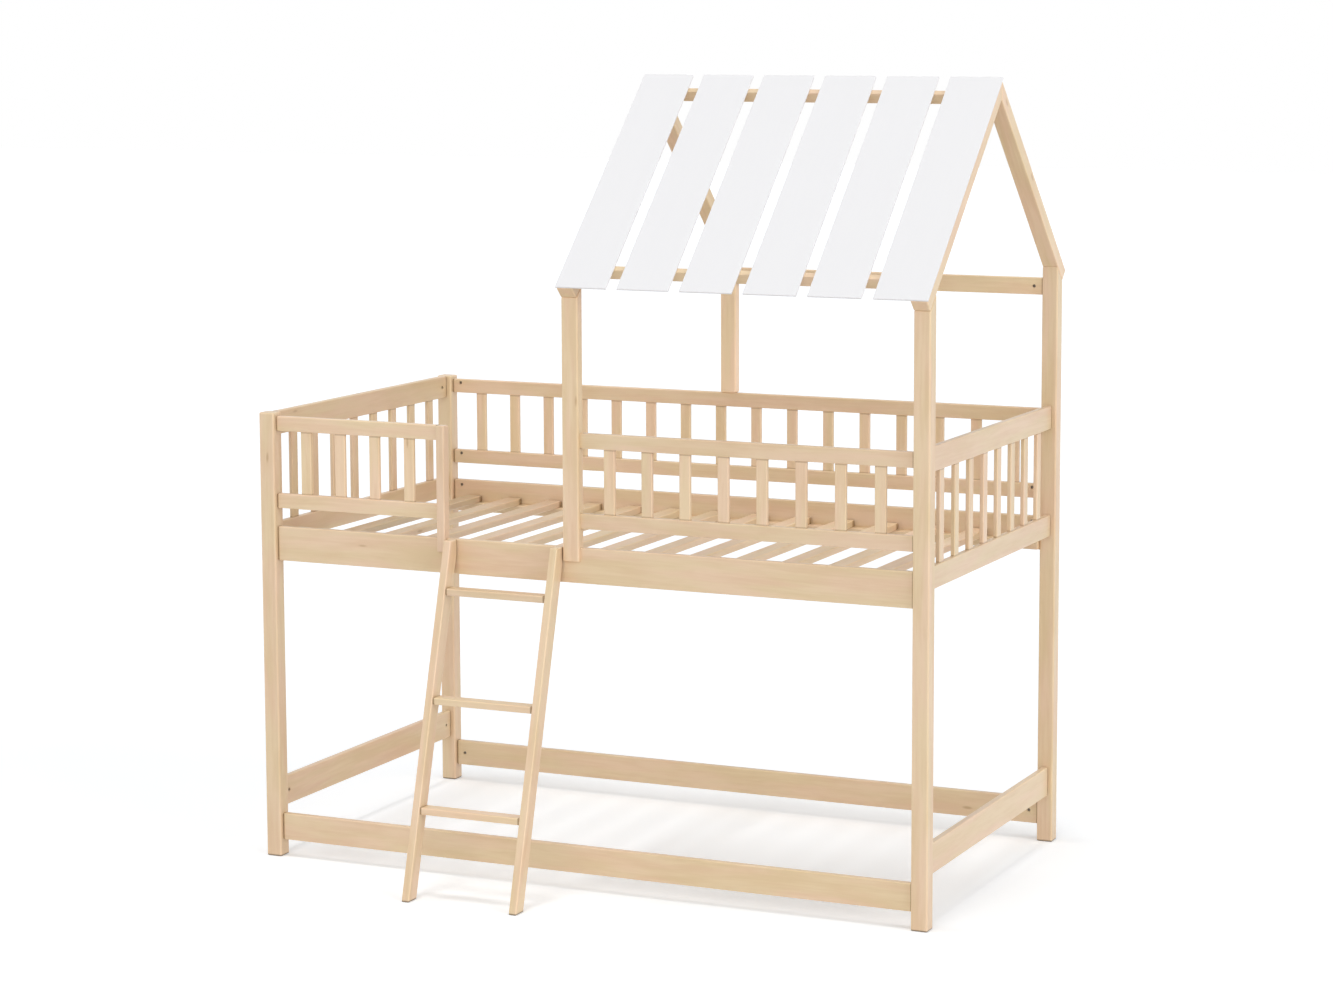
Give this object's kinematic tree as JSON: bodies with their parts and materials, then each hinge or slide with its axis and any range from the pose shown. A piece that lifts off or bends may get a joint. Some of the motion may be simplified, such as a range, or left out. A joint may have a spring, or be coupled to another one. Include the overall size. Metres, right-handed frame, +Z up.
{
  "type": "house bunk bed",
  "caption": "Raised wooden house bed with slatted guards, a slanted ladder, an open floor-level frame below and a gable roof with white boards over one half.",
  "frame": {"origin": "middle of the footprint, ladder and eaves included, on the floor under the posts", "axes": "+X runs along the bed from the foot end to the roofed end, +Y from the ladder side to the back, +Z up; the rest pose is the pictured one"},
  "size_m": [2.023, 1.3846, 2.2266],
  "materials": {
    "post_wood": "planed pine, clear satin",
    "rail_wood": "planed pine, clear satin",
    "guard_wood": "planed pine, clear satin",
    "base_wood": "planed pine, clear satin",
    "ladder_wood": "planed pine, clear satin",
    "roof_wood": "planed pine, clear satin",
    "board_paint": "white satin paint"
  },
  "bodies": {
    "root": {"post_front_left": "post_wood", "post_back_left": "post_wood", "post_front_right": "post_wood", "post_back_right": "post_wood", "post_front_middle": "post_wood", "post_back_middle": "post_wood", "side_rail_front": "rail_wood", "side_rail_back": "rail_wood", "low_rail_front": "rail_wood", "low_rail_back": "rail_wood", "low_rail_left": "rail_wood", "low_rail_right": "rail_wood", "roof_back_rail": "rail_wood", "guard_front_short": "guard_wood", "guard_front_long": "guard_wood", "guard_back": "guard_wood", "guard_left": "guard_wood", "guard_right": "guard_wood", "guard_stile": "guard_wood", "ledger_front": "base_wood", "ledger_back": "base_wood", "bed_slat_01": "base_wood", "bed_slat_02": "base_wood", "bed_slat_03": "base_wood", "bed_slat_04": "base_wood", "bed_slat_05": "base_wood", "bed_slat_06": "base_wood", "bed_slat_07": "base_wood", "bed_slat_08": "base_wood", "bed_slat_09": "base_wood", "bed_slat_10": "base_wood", "bed_slat_11": "base_wood", "bed_slat_12": "base_wood", "bed_slat_13": "base_wood", "bed_slat_14": "base_wood", "ladder_stringer_left": "ladder_wood", "ladder_stringer_right": "ladder_wood", "ladder_tread_1": "ladder_wood", "ladder_tread_2": "ladder_wood", "ladder_tread_3": "ladder_wood", "rafter_front_left": "roof_wood", "rafter_back_left": "roof_wood", "rafter_front_right": "roof_wood", "rafter_back_right": "roof_wood", "purlin_eave": "roof_wood", "purlin_ridge": "roof_wood", "roof_board_1": "board_paint", "roof_board_2": "board_paint", "roof_board_3": "board_paint", "roof_board_4": "board_paint", "roof_board_5": "board_paint", "roof_board_6": "board_paint"}
  },
  "joints": []
}
